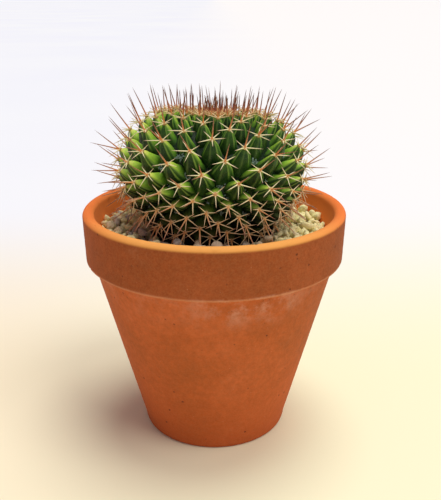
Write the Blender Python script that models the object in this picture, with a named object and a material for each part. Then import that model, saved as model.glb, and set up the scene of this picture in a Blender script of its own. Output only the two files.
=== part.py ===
"""A round cactus in a terracotta pot, top-dressed with pumice grit.

Metres, +Z up. The origin is the middle of the pot's flat base. The plant leans a
little back (+Y) and to the right (+X), as it grew.
"""

import math
import random

import bmesh
import bpy
import numpy as np
from mathutils import Matrix, Vector

MM = 0.001
GAP = 0.3 * MM

# The pot: a thrown clay cone with a thick straight band below its lip.
RIM_RADIUS = 57.5 * MM
POT_HEIGHT = 103.1 * MM
BAND_HEIGHT = 21.7 * MM
BAND_DRAFT = 0.6 * MM
BAND_STEP = 3.0 * MM
BASE_RADIUS = 31.2 * MM
FOOT_RADIUS = 33.2 * MM
FOOT_HEIGHT = 2.8 * MM
FOOT_CURVE = (0.65, 0.25)
BAND_CHAMFER = 0.6 * MM
LIP_WALL = 5.3 * MM
LIP_ROUND = 2.0 * MM
LIP_INNER_ROUND = 2.4 * MM
INNER_SLOPE = 0.245
FLOOR_THICKNESS = 7.0 * MM
FLOOR_FILLET = 3.0 * MM
DRAIN_RADIUS = 7.5 * MM
DRAIN_CHAMFER = 1.0 * MM
POT_SEGMENTS = 64

# The fill: soil to just below the grit, then a loose layer of grit.
SOIL_TOP = 87.0 * MM
GRIT_LEVEL = 94.6 * MM
GRIT_BUMP = 0.7 * MM
GRIT_EDGE_BUMP = 0.2 * MM
GRIT_WALL_GAP = 0.75 * MM
GRIT_SLOPE = 0.07
GRIT_FOOT_RADIUS = 26.0 * MM
GRIT_NECK_RADIUS = 30.5 * MM
GRIT_RINGS = 5
FILL_SEGMENTS = 48
STONES = 14
STONE_RING = 44.5 * MM
STONE_RING_SPREAD = 1.6 * MM
STONE_SIZES = (1.7 * MM, 2.6 * MM)
STONE_CORNERS = 18

# The stem: the surface that the tubercle tips lie on is a flattened globe.
STEM_CENTRE = Vector((-1.75 * MM, 0.0, 118.9 * MM))
STEM_RADIUS = 40.6 * MM
CROWN_RISE = 27.5 * MM
CROWN_FULLNESS = 2.385
UNDERSIDE_DROP = 34.4 * MM
UNDERSIDE_FULLNESS = 1.8
LEAN_PIVOT = Vector((0.0, 0.0, 100.0 * MM - STEM_CENTRE.z))
LEAN_BACK = math.radians(4.5)
LEAN_RIGHT = math.radians(2.2)
LEAN = Matrix.Rotation(-LEAN_BACK, 3, "X") @ Matrix.Rotation(LEAN_RIGHT, 3, "Y")
ROOT_TIP_HEIGHT = 71.5 * MM
PIT_CLEARANCE = 1.6 * MM
PIT_MOUTH_HEIGHT = 92.0 * MM
CROWN_DIP = 4.0 * MM
CROWN_DIP_RADIUS = 17.0 * MM

# The tubercles: one more at each golden angle, small at the crown, largest on
# the shoulder and crowded again below the widest ring.
GOLDEN_ANGLE = math.pi * (3.0 - math.sqrt(5.0))
FIRST_TURN = math.radians(-83.1)
SHOULDER_TUBERCLE = 137
LAST_TUBERCLE = 276
CROWN_CELL = 5.0 * MM * MM
SHOULDER_CELL = 108.0 * MM * MM
FLANK_CELL = 59.0 * MM * MM
SHOULDER_REACH = 50.0 * MM
FLANK_REACH = 62.0 * MM
GROOVE_DEPTH = 0.40
HOLLOW_DEPTH = 0.53

# The spines: a star of radial spines and one longer central spine to an areole.
SPINY_STEP = 6
LAST_SPINY = 210
RADIALS = 5
RADIAL_LENGTH = 7.6 * MM
RADIAL_LIFT = 0.42
CENTRAL_LENGTH = 14.0 * MM
CROWN_CENTRAL_LENGTH = 7.0 * MM
CENTRAL_UPTURN = 0.45
AREOLE_RADIUS = 0.75 * MM
AREOLE_HEIGHT = 0.8 * MM
AREOLE_GAP = 0.36 * MM
CROWN_AREOLE_SHARE = 0.55
CROWN_RADIAL_SHARE = 0.35
FULL_CELL_SPACING = 9.0 * MM

SEED = 21


def clear_scene():
    for obj in list(bpy.data.objects):
        bpy.data.objects.remove(obj, do_unlink=True)


def material(name, colour, roughness):
    made = bpy.data.materials.new(name)
    made.use_nodes = True
    shader = made.node_tree.nodes["Principled BSDF"]
    shader.inputs["Base Color"].default_value = (*colour, 1.0)
    shader.inputs["Roughness"].default_value = roughness
    shader.inputs["Metallic"].default_value = 0.0
    made.diffuse_color = (*colour, 1.0)
    return made


def add_object(name, bm, finish, smooth=False):
    """Links the finished bmesh as one object, faces pointing out."""
    bmesh.ops.recalc_face_normals(bm, faces=bm.faces[:])
    mesh = bpy.data.meshes.new(name)
    bm.to_mesh(mesh)
    bm.free()
    mesh.materials.append(finish)
    if smooth:
        mesh.shade_smooth()
        mesh.set_sharp_from_angle(angle=math.radians(35.0))
    obj = bpy.data.objects.new(name, mesh)
    bpy.context.scene.collection.objects.link(obj)
    return obj


def arc(centre, radius, start, end, steps):
    """Points (r, z) along an arc in the profile plane, angles in degrees."""
    angles = [math.radians(start + (end - start) * i / steps) for i in range(steps + 1)]
    return [(centre[0] + radius * math.cos(a), centre[1] + radius * math.sin(a)) for a in angles]


def turned(profile, segments, ring):
    """Turns (r, z) points about Z. A ring's last point joins its first one."""
    bm = bmesh.new()
    rows = []
    for radius, height in profile:
        if radius == 0.0:
            rows.append([bm.verts.new((0.0, 0.0, height))] * segments)
            continue
        turns = [2.0 * math.pi * i / segments for i in range(segments)]
        rows.append([bm.verts.new((radius * math.cos(t), radius * math.sin(t), height)) for t in turns])
    pairs = list(zip(rows, rows[1:]))
    if ring:
        pairs.append((rows[-1], rows[0]))
    for lower, upper in pairs:
        for i in range(segments):
            j = (i + 1) % segments
            corners = dict.fromkeys((lower[i], lower[j], upper[j], upper[i]))
            bm.faces.new(list(corners))
    return bm


# ---- pot and fill ----


def inner_radius(height):
    """Radius of the pot's plain conical inside at a height above the base."""
    lip_base = POT_HEIGHT - LIP_ROUND
    return RIM_RADIUS - LIP_WALL - INNER_SLOPE * (lip_base - height)


def pot_profile():
    """Once round the clay: base, wall, band, lip, inside, floor, drainage hole."""
    band_base = POT_HEIGHT - BAND_HEIGHT
    wall_top = RIM_RADIUS - BAND_DRAFT - BAND_STEP
    lip_centre = (RIM_RADIUS - LIP_ROUND, POT_HEIGHT - LIP_ROUND)
    inner_lip = (RIM_RADIUS - LIP_WALL + LIP_INNER_ROUND, POT_HEIGHT - LIP_INNER_ROUND)
    floor = FLOOR_THICKNESS
    fillet = (inner_radius(floor + FLOOR_FILLET) - FLOOR_FILLET, floor + FLOOR_FILLET)
    base = [
        (DRAIN_RADIUS + DRAIN_CHAMFER, 0.0),
        (BASE_RADIUS, 0.0),
        (BASE_RADIUS + FOOT_CURVE[0] * (FOOT_RADIUS - BASE_RADIUS), FOOT_CURVE[1] * FOOT_HEIGHT),
        (FOOT_RADIUS, FOOT_HEIGHT),
    ]
    band = [
        (wall_top, band_base - BAND_CHAMFER),
        (wall_top + BAND_CHAMFER, band_base),
        (RIM_RADIUS - BAND_DRAFT - BAND_CHAMFER, band_base),
        (RIM_RADIUS - BAND_DRAFT, band_base + BAND_CHAMFER),
    ]
    lip = arc(lip_centre, LIP_ROUND, 0.0, 90.0, 4) + arc(inner_lip, LIP_INNER_ROUND, 90.0, 180.0, 4)
    inside = [(inner_radius(GRIT_LEVEL), GRIT_LEVEL)] + arc(fillet, FLOOR_FILLET, 0.0, -90.0, 3)
    drain = [
        (DRAIN_RADIUS + DRAIN_CHAMFER, floor),
        (DRAIN_RADIUS, floor - DRAIN_CHAMFER),
        (DRAIN_RADIUS, DRAIN_CHAMFER),
    ]
    return base + band + lip + inside + drain


def build_pot():
    clay = material("terracotta", (0.52, 0.17, 0.06), 0.85)
    add_object("terracotta_pot", turned(pot_profile(), POT_SEGMENTS, ring=True), clay, smooth=True)


def root_radius(height):
    """Radius of the plain cone of the stem's underside and root."""
    return GRIT_FOOT_RADIUS * (height - ROOT_TIP_HEIGHT) / (GRIT_LEVEL - ROOT_TIP_HEIGHT)


def build_soil():
    """Soil fills the pot's cone, with a pit that the root sits in."""
    earth = material("potting_soil", (0.06, 0.035, 0.02), 0.95)
    floor = FLOOR_THICKNESS + GAP
    corner = floor + FLOOR_FILLET
    profile = [
        (0.0, floor),
        (inner_radius(floor) - FLOOR_FILLET, floor),
        (inner_radius(corner) - 2.0 * GAP, corner),
        (inner_radius(SOIL_TOP) - GAP / math.cos(math.atan(INNER_SLOPE)) - GAP, SOIL_TOP),
        (0.0, SOIL_TOP),
    ]
    soil = add_object("potting_soil", turned(profile, FILL_SEGMENTS, ring=False), earth)
    pit_tip = ROOT_TIP_HEIGHT - PIT_CLEARANCE
    mouth_radius = root_radius(PIT_MOUTH_HEIGHT + PIT_CLEARANCE) + PIT_CLEARANCE
    pit_profile = [(0.0, pit_tip), (mouth_radius, PIT_MOUTH_HEIGHT), (0.0, PIT_MOUTH_HEIGHT)]
    cone = turned(pit_profile, FILL_SEGMENTS, ring=False)
    cutter = add_object("root_pit_cutter", cone, earth)
    cutter.location = (STEM_CENTRE.x, STEM_CENTRE.y, 0.0)
    cutter.hide_render = True
    cutter.display_type = "WIRE"
    pit = soil.modifiers.new("root_pit", "BOOLEAN")
    pit.operation = "DIFFERENCE"
    pit.solver = "EXACT"
    pit.object = cutter


def ring_point(share, angle, inner, outer, height):
    """A point between the circle round the stem and the circle round the pot's axis."""
    centre = (1.0 - share) * STEM_CENTRE.x
    radius = inner + share * (outer - inner)
    return Vector((centre + radius * math.cos(angle), radius * math.sin(angle), height))


def grit_height(share):
    """The grit lies a little higher at the neck of the plant than at the wall."""
    return GRIT_LEVEL + GRIT_SLOPE * (0.5 - share) * (inner_radius(GRIT_LEVEL) - GRIT_NECK_RADIUS)


def build_grit_bed(dice):
    """One bumpy ring of packed grit between the neck of the plant and the clay."""
    pumice = material("pumice_grit", (0.62, 0.52, 0.36), 0.95)
    bm = bmesh.new()
    bottom = SOIL_TOP + GAP
    rings = [(0.0, GRIT_FOOT_RADIUS, inner_radius(bottom) - GRIT_WALL_GAP, bottom, 0.0)]
    for i in range(GRIT_RINGS + 1):
        share = i / GRIT_RINGS
        level = grit_height(share)
        bump = GRIT_BUMP if 0 < i < GRIT_RINGS else GRIT_EDGE_BUMP
        outer = inner_radius(level - GRIT_BUMP) - GRIT_WALL_GAP
        rings.append((share, GRIT_NECK_RADIUS, outer, level, bump))
    rings.append((1.0, GRIT_FOOT_RADIUS, inner_radius(bottom) - GRIT_WALL_GAP, bottom, 0.0))
    rows = []
    for share, inner, outer, level, bump in rings:
        row = []
        for j in range(FILL_SEGMENTS):
            angle = 2.0 * math.pi * j / FILL_SEGMENTS
            height = level + dice.uniform(-bump, bump)
            row.append(bm.verts.new(ring_point(share, angle, inner, outer, height)))
        rows.append(row)
    for lower, upper in zip(rows, rows[1:] + rows[:1]):
        for j in range(FILL_SEGMENTS):
            k = (j + 1) % FILL_SEGMENTS
            bm.faces.new((lower[j], lower[k], upper[k], upper[j]))
    bmesh.ops.triangulate(bm, faces=bm.faces[:])
    add_object("grit_bed", bm, pumice)


def build_stones(dice):
    """The larger stones that lie loose on the grit, each a rough broken lump."""
    pumice = material("pumice_stone", (0.68, 0.57, 0.40), 0.95)
    for i in range(STONES):
        angle = i * GOLDEN_ANGLE
        ring = STONE_RING + dice.uniform(-STONE_RING_SPREAD, STONE_RING_SPREAD)
        radii = [dice.uniform(*STONE_SIZES) for _ in range(3)]
        bm = bmesh.new()
        for _ in range(STONE_CORNERS):
            way = Vector((dice.gauss(0, 1), dice.gauss(0, 1), dice.gauss(0, 1))).normalized()
            bm.verts.new([way[axis] * radii[axis] for axis in range(3)])
        hull = bmesh.ops.convex_hull(bm, input=bm.verts[:])
        bmesh.ops.delete(bm, geom=hull["geom_interior"], context="VERTS")
        lowest = min(vert.co.z for vert in bm.verts)
        share = (ring - GRIT_NECK_RADIUS) / (inner_radius(GRIT_LEVEL) - GRIT_NECK_RADIUS)
        rest = grit_height(share) + GRIT_BUMP + GAP - lowest
        stone = add_object(f"grit_stone_{i + 1:02d}", bm, pumice)
        stone.location = (ring * math.cos(angle), ring * math.sin(angle), rest)


# ---- plant ----


def sunken(point):
    """A point of the plant, lowered by as much as the crown has sunk in at its middle."""
    pivot = STEM_CENTRE + LEAN_PIVOT
    upright = LEAN.transposed() @ (point - pivot)
    radius = math.hypot(upright.x, upright.y)
    dip = CROWN_DIP * math.exp(-((radius / CROWN_DIP_RADIUS) ** 4))
    return point - LEAN @ Vector((0.0, 0.0, dip))


def stem_profile(steps=3000):
    """Radius and height, crown to underside, of the surface that holds the tips."""
    turn = np.linspace(0.0, math.pi / 2.0, steps)
    upper, lower = 2.0 / CROWN_FULLNESS, 2.0 / UNDERSIDE_FULLNESS
    radius = np.concatenate([np.sin(turn) ** upper, np.cos(turn[1:]) ** lower]) * STEM_RADIUS
    rise = CROWN_RISE * np.cos(turn) ** upper
    drop = -UNDERSIDE_DROP * np.sin(turn[1:]) ** lower
    return radius, np.concatenate([rise, drop])


def tubercle_cell(reach):
    """Area of skin that one tubercle takes, by distance along the skin from the crown."""
    growth = np.sin(np.clip(reach / SHOULDER_REACH, 0.0, 1.0) * math.pi / 2.0) ** 2
    young = CROWN_CELL + (SHOULDER_CELL - CROWN_CELL) * growth
    age = np.clip((reach - SHOULDER_REACH) / (FLANK_REACH - SHOULDER_REACH), 0.0, 1.0)
    return np.where(reach > SHOULDER_REACH, SHOULDER_CELL + (FLANK_CELL - SHOULDER_CELL) * age, young)


class Areole:
    """The tip of one tubercle: its place and its outward, upward and sideways ways."""

    def __init__(self, number, radius, height, slope, spacing):
        turn = FIRST_TURN + GOLDEN_ANGLE * (number - SHOULDER_TUBERCLE)
        away = Vector((math.cos(turn), math.sin(turn), 0.0))
        rise, run = slope
        place = away * radius + Vector((0.0, 0.0, height))
        self.number = number
        self.spacing = spacing
        self.place = LEAN @ (place - LEAN_PIVOT) + LEAN_PIVOT + STEM_CENTRE
        self.out = (LEAN @ (away * -rise + Vector((0.0, 0.0, run)))).normalized()
        self.up = (LEAN @ (away * -run + Vector((0.0, 0.0, -rise)))).normalized()
        self.side = self.up.cross(self.out)


def areoles():
    """Every areole from the crown down, spaced so that each has its own cell of skin."""
    radius, height = stem_profile()
    run, rise = np.diff(radius), np.diff(height)
    step = np.hypot(run, rise)
    reach = np.concatenate([[0.0], np.cumsum(step)])
    cell = tubercle_cell(reach)
    band = math.pi * (radius[1:] + radius[:-1]) * step
    count = np.concatenate([[0.0], np.cumsum(band / (0.5 * (cell[1:] + cell[:-1])))])
    middle = 0.5 * (count[1:] + count[:-1])
    found = []
    for number in range(1, LAST_TUBERCLE + 1):
        at = float(np.interp(number, count, reach))
        slope = (np.interp(number, middle, rise / step), np.interp(number, middle, run / step))
        spacing = math.sqrt(float(np.interp(at, reach, cell)))
        place = (float(np.interp(at, reach, radius)), float(np.interp(at, reach, height)))
        found.append(Areole(number, *place, slope, spacing))
    return found


def build_stem(tips):
    """The tips' convex skin, with grooves halfway to each neighbour, on a conical root."""
    bm = bmesh.new()
    for tip in tips:
        bm.verts.new(tip.place)
    root = bm.verts.new((STEM_CENTRE.x, STEM_CENTRE.y, ROOT_TIP_HEIGHT))
    hull = bmesh.ops.convex_hull(bm, input=bm.verts[:])
    bmesh.ops.delete(bm, geom=hull["geom_interior"], context="VERTS")
    bmesh.ops.recalc_face_normals(bm, faces=bm.faces[:])
    bm.normal_update()
    between_tips = [edge for edge in bm.edges if root not in edge.verts]
    split = bmesh.ops.subdivide_edges(bm, edges=between_tips, cuts=1)
    grooves = [item for item in split["geom_inner"] if isinstance(item, bmesh.types.BMVert)]
    bm.normal_update()
    moves = []
    for vert in grooves:
        spacing = sum(edge.calc_length() for edge in vert.link_edges[:2])
        moves.append((vert, vert.normal * -GROOVE_DEPTH * spacing))
    flanks = [face for face in bm.faces if root not in face.verts]
    hollows = bmesh.ops.poke(bm, faces=flanks)["verts"]
    for vert in hollows:
        spacing = 2.0 * max(edge.calc_length() for edge in vert.link_edges)
        inward = -sum((face.normal for face in vert.link_faces), Vector()).normalized()
        moves.append((vert, inward * HOLLOW_DEPTH * spacing))
    for vert, move in moves:
        vert.co += move
    for vert in bm.verts:
        if vert.co.z > STEM_CENTRE.z:
            vert.co = sunken(vert.co)
    bmesh.ops.triangulate(bm, faces=bm.faces[:])
    skin = material("cactus_skin", (0.13, 0.27, 0.05), 0.55)
    add_object("cactus_stem", bm, skin)


def spine_cluster(areole):
    """A five-sided areole whose side faces are drawn out into spines."""
    bm = bmesh.new()
    foot = sunken(areole.place) + areole.out * AREOLE_GAP
    growth = min(1.0, areole.spacing / FULL_CELL_SPACING)
    radius = AREOLE_RADIUS * (CROWN_AREOLE_SHARE + (1.0 - CROWN_AREOLE_SHARE) * growth)
    radial_length = RADIAL_LENGTH * (CROWN_RADIAL_SHARE + (1.0 - CROWN_RADIAL_SHARE) * growth)

    def on_areole(angle, lift):
        flat = areole.side * math.cos(angle) + areole.up * math.sin(angle)
        return foot + flat * radius + areole.out * lift

    step = 2.0 * math.pi / RADIALS
    corners = [-math.pi / 2.0 + step * (i - 0.5) for i in range(RADIALS)]
    lower = [bm.verts.new(on_areole(angle, 0.0)) for angle in corners]
    upper = [bm.verts.new(on_areole(angle, AREOLE_HEIGHT)) for angle in corners]
    for i in range(RADIALS):
        j = (i + 1) % RADIALS
        middle = on_areole(corners[i] + step / 2.0, 0.5 * AREOLE_HEIGHT)
        way = ((middle - foot).normalized() + areole.out * RADIAL_LIFT).normalized()
        tip = bm.verts.new(middle + way * radial_length)
        around = (lower[i], lower[j], upper[j], upper[i])
        for a, b in zip(around, around[1:] + around[:1]):
            bm.faces.new((a, b, tip))
    length = CROWN_CENTRAL_LENGTH + (CENTRAL_LENGTH - CROWN_CENTRAL_LENGTH) * growth
    way = (areole.out + Vector((0.0, 0.0, CENTRAL_UPTURN))).normalized()
    tip = bm.verts.new(foot + areole.out * AREOLE_HEIGHT + way * length)
    for i in range(RADIALS):
        bm.faces.new((upper[i], upper[(i + 1) % RADIALS], tip))
    bm.faces.new(lower)
    return bm


def build_spines(tips):
    """Clusters on every sixth areole, which spreads them evenly round the stem."""
    spine = material("spines", (0.72, 0.50, 0.28), 0.5)
    spiny = [tip for tip in tips if tip.number % SPINY_STEP == 0 and tip.number <= LAST_SPINY]
    for tip in spiny:
        add_object(f"spine_cluster_{tip.number:03d}", spine_cluster(tip), spine)


def main():
    clear_scene()
    dice = random.Random(SEED)
    build_pot()
    build_soil()
    build_grit_bed(dice)
    build_stones(dice)
    tips = areoles()
    build_stem(tips)
    build_spines(tips)


main()
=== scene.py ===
"""Looks of the potted round cactus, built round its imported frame. Metres, +Z up."""

import math

import bmesh
import bpy
import numpy as np
from mathutils import Matrix, Vector, noise


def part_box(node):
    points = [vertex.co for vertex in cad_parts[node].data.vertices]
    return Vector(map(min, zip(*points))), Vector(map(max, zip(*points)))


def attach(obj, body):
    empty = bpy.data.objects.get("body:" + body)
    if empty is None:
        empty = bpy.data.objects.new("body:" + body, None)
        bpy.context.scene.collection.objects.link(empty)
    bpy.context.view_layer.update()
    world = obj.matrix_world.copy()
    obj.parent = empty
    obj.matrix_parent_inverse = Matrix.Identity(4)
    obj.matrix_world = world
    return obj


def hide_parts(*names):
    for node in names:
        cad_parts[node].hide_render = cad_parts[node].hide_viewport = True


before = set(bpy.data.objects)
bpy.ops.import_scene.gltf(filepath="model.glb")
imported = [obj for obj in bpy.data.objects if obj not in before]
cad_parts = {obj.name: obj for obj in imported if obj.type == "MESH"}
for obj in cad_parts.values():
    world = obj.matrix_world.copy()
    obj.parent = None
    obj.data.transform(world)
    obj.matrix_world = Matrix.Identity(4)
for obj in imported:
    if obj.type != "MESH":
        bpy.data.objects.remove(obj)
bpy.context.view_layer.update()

MM = 0.001
BODY = "root"
_, POT_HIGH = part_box("terracotta_pot")
SPINE_NODES = sorted(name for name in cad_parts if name.startswith("spine_cluster_"))
STONE_NODES = sorted(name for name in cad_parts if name.startswith("grit_stone_"))

# The pot's section, as in the CAD part.
RIM_RADIUS = POT_HIGH.x
POT_HEIGHT = POT_HIGH.z
BAND_HEIGHT = 21.7 * MM
BAND_BASE = POT_HEIGHT - BAND_HEIGHT
BAND_DRAFT = 0.6 * MM
BAND_STEP = 3.0 * MM
BASE_RADIUS = 31.2 * MM
FOOT_RADIUS = 33.2 * MM
FOOT_HEIGHT = 2.8 * MM
LIP_WALL = 5.3 * MM
LIP_ROUND = 2.0 * MM
INNER_LIP_ROUND = 2.4 * MM
INNER_SLOPE = 0.245
FLOOR_THICKNESS = 7.0 * MM
FLOOR_FILLET = 3.0 * MM
DRAIN_RADIUS = 7.5 * MM
DRAIN_CHAMFER = 1.0 * MM

# The plant's lattice of tubercles, as in the CAD part.
STEM_CENTRE = Vector((-1.75 * MM, 0.0, 118.9 * MM))
STEM_RADIUS = 40.6 * MM
CROWN_RISE = 27.5 * MM
CROWN_FULLNESS = 2.385
UNDERSIDE_DROP = 34.4 * MM
UNDERSIDE_FULLNESS = 1.8
LEAN_PIVOT = Vector((0.0, 0.0, 100.0 * MM - STEM_CENTRE.z))
LEAN_BACK = math.radians(4.5)
LEAN_RIGHT = math.radians(2.2)
LEAN = Matrix.Rotation(-LEAN_BACK, 3, "X") @ Matrix.Rotation(LEAN_RIGHT, 3, "Y")
GOLDEN_ANGLE = math.pi * (3.0 - math.sqrt(5.0))
FIRST_TURN = math.radians(-83.1)
SHOULDER_TUBERCLE = 137
LAST_TUBERCLE = 276
CROWN_CELL = 5.0 * MM * MM
SHOULDER_CELL = 108.0 * MM * MM
FLANK_CELL = 59.0 * MM * MM
SHOULDER_REACH = 50.0 * MM
FLANK_REACH = 62.0 * MM
FULL_SPACING = 9.0 * MM
TUBERCLE_UPTURN = 0.42
CROWN_DIP = 4.0 * MM
CROWN_DIP_RADIUS = 17.0 * MM

dice = np.random.default_rng(7)


# ---- meshes ----


def grid_faces(rows, columns):
    """Quads of a grid whose columns close on themselves, row after row."""
    row = np.arange(rows - 1)[:, None] * columns
    column = np.arange(columns)[None, :]
    after = (column + 1) % columns
    corners = [row + column, row + after, row + columns + after, row + columns + column]
    return np.stack(corners, axis=-1).reshape(-1, 4).tolist()


def add_piece(name, points, faces, finish, layers=None):
    """One smooth mesh piece that rides on the body, with float layers for the material to read."""
    mesh = bpy.data.meshes.new(name)
    mesh.from_pydata(np.asarray(points, float).tolist(), [], faces)
    for label, values in (layers or {}).items():
        layer = mesh.attributes.new(label, "FLOAT", "POINT")
        layer.data.foreach_set("value", np.asarray(values, np.float32).ravel())
    mesh.update()
    mesh.shade_smooth()
    mesh.materials.append(finish)
    piece = bpy.data.objects.new(name, mesh)
    bpy.context.scene.collection.objects.link(piece)
    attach(piece, BODY)
    return piece


def face_outwards(piece):
    bm = bmesh.new()
    bm.from_mesh(piece.data)
    bmesh.ops.recalc_face_normals(bm, faces=bm.faces[:])
    bm.to_mesh(piece.data)
    bm.free()


def ball(subdivisions):
    """Directions and triangles of a unit icosphere."""
    bm = bmesh.new()
    bmesh.ops.create_icosphere(bm, subdivisions=subdivisions, radius=1.0)
    points = np.array([vert.co[:] for vert in bm.verts])
    faces = [[vert.index for vert in face.verts] for face in bm.faces]
    bm.free()
    return points, faces


def full_circle(steps):
    """Angles that go evenly once round."""
    return np.linspace(0.0, 2.0 * math.pi, steps, endpoint=False)


def unit(vectors):
    return vectors / np.linalg.norm(vectors, axis=-1, keepdims=True)


def rising(value, low, high):
    """How far a value has come on its way from low to high, from 0 to 1."""
    return min(1.0, max(0.0, (value - low) / (high - low)))


class Heap:
    """Many small bodies gathered into one mesh, with their layers."""

    def __init__(self):
        self.points = []
        self.faces = []
        self.layers = {}
        self.count = 0

    def add(self, points, faces, **layers):
        self.points.append(points)
        self.faces += [[index + self.count for index in face] for face in faces]
        for label, value in layers.items():
            self.layers.setdefault(label, []).append(np.broadcast_to(value, len(points)))
        self.count += len(points)

    def piece(self, name, finish, slot):
        layers = {label: np.concatenate(values) for label, values in self.layers.items()}
        return add_piece(name, np.concatenate(self.points), self.faces, finish, layers)


# ---- materials ----


class Finish:
    """A Principled material put together from a few kinds of node."""

    def __init__(self, name, **shader):
        self.material = bpy.data.materials.new(name)
        self.material.use_nodes = True
        self.tree = self.material.node_tree
        self.shader = self.tree.nodes["Principled BSDF"]
        self.place = self.node("ShaderNodeTexCoord").outputs["Object"]
        self.x, self.y, self.z = self.node("ShaderNodeSeparateXYZ", inputs={"Vector": self.place}).outputs
        self.heights = None
        for label, value in shader.items():
            self.put(self.shader.inputs[label.replace("_", " ")], value)

    def put(self, socket, value):
        if isinstance(value, bpy.types.NodeSocket):
            self.tree.links.new(value, socket)
        else:
            socket.default_value = value

    def node(self, kind, settings=None, inputs=None):
        made = self.tree.nodes.new(kind)
        for label, value in (settings or {}).items():
            setattr(made, label, value)
        for label, value in (inputs or {}).items():
            self.put(made.inputs[label], value)
        return made

    def stretched(self, x, y, z):
        return self.node("ShaderNodeMapping", inputs={"Vector": self.place, "Scale": (x, y, z)}).outputs[0]

    def noise(self, scale, detail=4.0, roughness=0.55, place=None):
        inputs = {"Vector": place or self.place, "Scale": scale, "Detail": detail, "Roughness": roughness}
        return self.node("ShaderNodeTexNoise", inputs=inputs).outputs["Fac"]

    def cells(self, scale):
        """Distance to the nearest of many scattered points."""
        inputs = {"Vector": self.place, "Scale": scale}
        return self.node("ShaderNodeTexVoronoi", inputs=inputs).outputs["Distance"]

    def layer(self, label):
        return self.node("ShaderNodeAttribute", {"attribute_name": label}).outputs["Fac"]

    def ranged(self, value, low, high, out_low=0.0, out_high=1.0):
        """The value carried smoothly from one range to another."""
        bounds = {"Value": value, "From Min": low, "From Max": high, "To Min": out_low, "To Max": out_high}
        return self.node("ShaderNodeMapRange", {"interpolation_type": "SMOOTHSTEP"}, bounds).outputs["Result"]

    def fading(self, value, low, high):
        return self.ranged(value, low, high, 1.0, 0.0)

    def between(self, value, low, full, fading, high):
        """A share that rises from low to full and falls again from fading to high."""
        return self.times(self.ranged(value, low, full), self.fading(value, fading, high))

    def sum(self, operation, first, second):
        return self.node("ShaderNodeMath", {"operation": operation}, {0: first, 1: second}).outputs[0]

    def one(self, operation, value):
        return self.node("ShaderNodeMath", {"operation": operation}, {0: value}).outputs[0]

    def times(self, first, second):
        return self.sum("MULTIPLY", first, second)

    def plus(self, first, second):
        return self.sum("ADD", first, second)

    def mix(self, share, first, second, blend="MIX"):
        made = self.node("ShaderNodeMix", {"data_type": "RGBA", "blend_type": blend})
        self.put(made.inputs["Factor"], share)
        sockets = [socket for socket in made.inputs if socket.type == "RGBA"]
        for socket, value in zip(sockets, (first, second)):
            self.put(socket, (*value, 1.0) if isinstance(value, tuple) else value)
        return next(socket for socket in made.outputs if socket.type == "RGBA")

    def shaded(self, colour, value):
        """The colour made darker or lighter by a value."""
        parts = {"Red": value, "Green": value, "Blue": value}
        grey = self.node("ShaderNodeCombineColor", inputs=parts).outputs[0]
        return self.mix(1.0, colour, grey, "MULTIPLY")

    def ramp(self, value, *stops):
        """Colours along a value, each stop (place, (r, g, b))."""
        made = self.node("ShaderNodeValToRGB", inputs={"Fac": value})
        elements = made.color_ramp.elements
        for index, (place, colour) in enumerate(stops):
            element = elements[index] if index < len(elements) else elements.new(place)
            element.position = place
            element.color = (*colour, 1.0)
        return made.outputs["Color"]

    def colour(self, value):
        self.put(self.shader.inputs["Base Color"], value)

    def roughness(self, value):
        self.put(self.shader.inputs["Roughness"], value)

    def bump(self, height, distance):
        """Lays one more relief, so many metres deep, over those already there."""
        inputs = {"Height": height, "Distance": distance}
        if self.heights:
            inputs["Normal"] = self.heights
        self.heights = self.node("ShaderNodeBump", inputs=inputs).outputs["Normal"]
        self.put(self.shader.inputs["Normal"], self.heights)


def fired_colour(clay, mottle, turning):
    """Mottled clay with painted shade on the band and at the foot, redder low down, finely speckled."""
    base = clay.ramp(
        mottle,
        (0.30, (0.41, 0.090, 0.014)),
        (0.50, (0.51, 0.108, 0.022)),
        (0.70, (0.61, 0.140, 0.040)),
    )
    # Painted shade: the band is coloured darker, and the clay darker towards the foot.
    band_painted_shade = clay.ranged(clay.z, BAND_BASE - 0.5 * MM, BAND_BASE + 0.5 * MM, 1.0, 0.70)
    foot_painted_shade = clay.ranged(clay.z, 0.0, 30.0 * MM, 0.92, 1.0)
    # The turning lines, with the painted shade of the band and the foot multiplied in.
    lines = clay.times(clay.ranged(turning, 0.3, 0.7, 0.97, 1.02), clay.times(band_painted_shade, foot_painted_shade))
    crumb = clay.ranged(clay.noise(420.0, 5.0, 0.7), 0.3, 0.7, 0.90, 1.10)
    base = clay.shaded(base, clay.times(lines, crumb))
    redder = clay.ranged(clay.z, 0.0, 48.0 * MM, 0.55, 0.0)
    return clay.mix(redder, base, (0.58, 0.104, 0.017))


def near_joint(clay, depth, close):
    """A share that is full just under the band and gone a given depth below it."""
    up_the_band = (BAND_BASE + 0.5 * MM, BAND_BASE + 2.0 * MM)
    return clay.between(clay.z, BAND_BASE - depth, BAND_BASE - close, *up_the_band)


def lime_bloom(clay, base):
    """Pale lime under the band, thickest in a splash at the front, and thin dust all over."""
    splash = clay.between(clay.x, -14.0 * MM, 6.0 * MM, 22.0 * MM, 40.0 * MM)
    splash = clay.times(splash, clay.ranged(clay.y, -20.0 * MM, 0.0, 0.50, 0.0))
    lime = clay.ranged(clay.noise(90.0, 8.0, 0.75), 0.40, 0.66)
    bloom = clay.times(near_joint(clay, 18.0 * MM, 2.0 * MM), lime)
    base = clay.mix(clay.times(bloom, clay.plus(splash, 0.14)), base, (0.74, 0.42, 0.30))
    dusty = clay.ranged(clay.noise(75.0, 8.0, 0.75), 0.56, 0.80)
    return clay.mix(clay.times(dusty, 0.16), base, (0.75, 0.40, 0.22))


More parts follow.
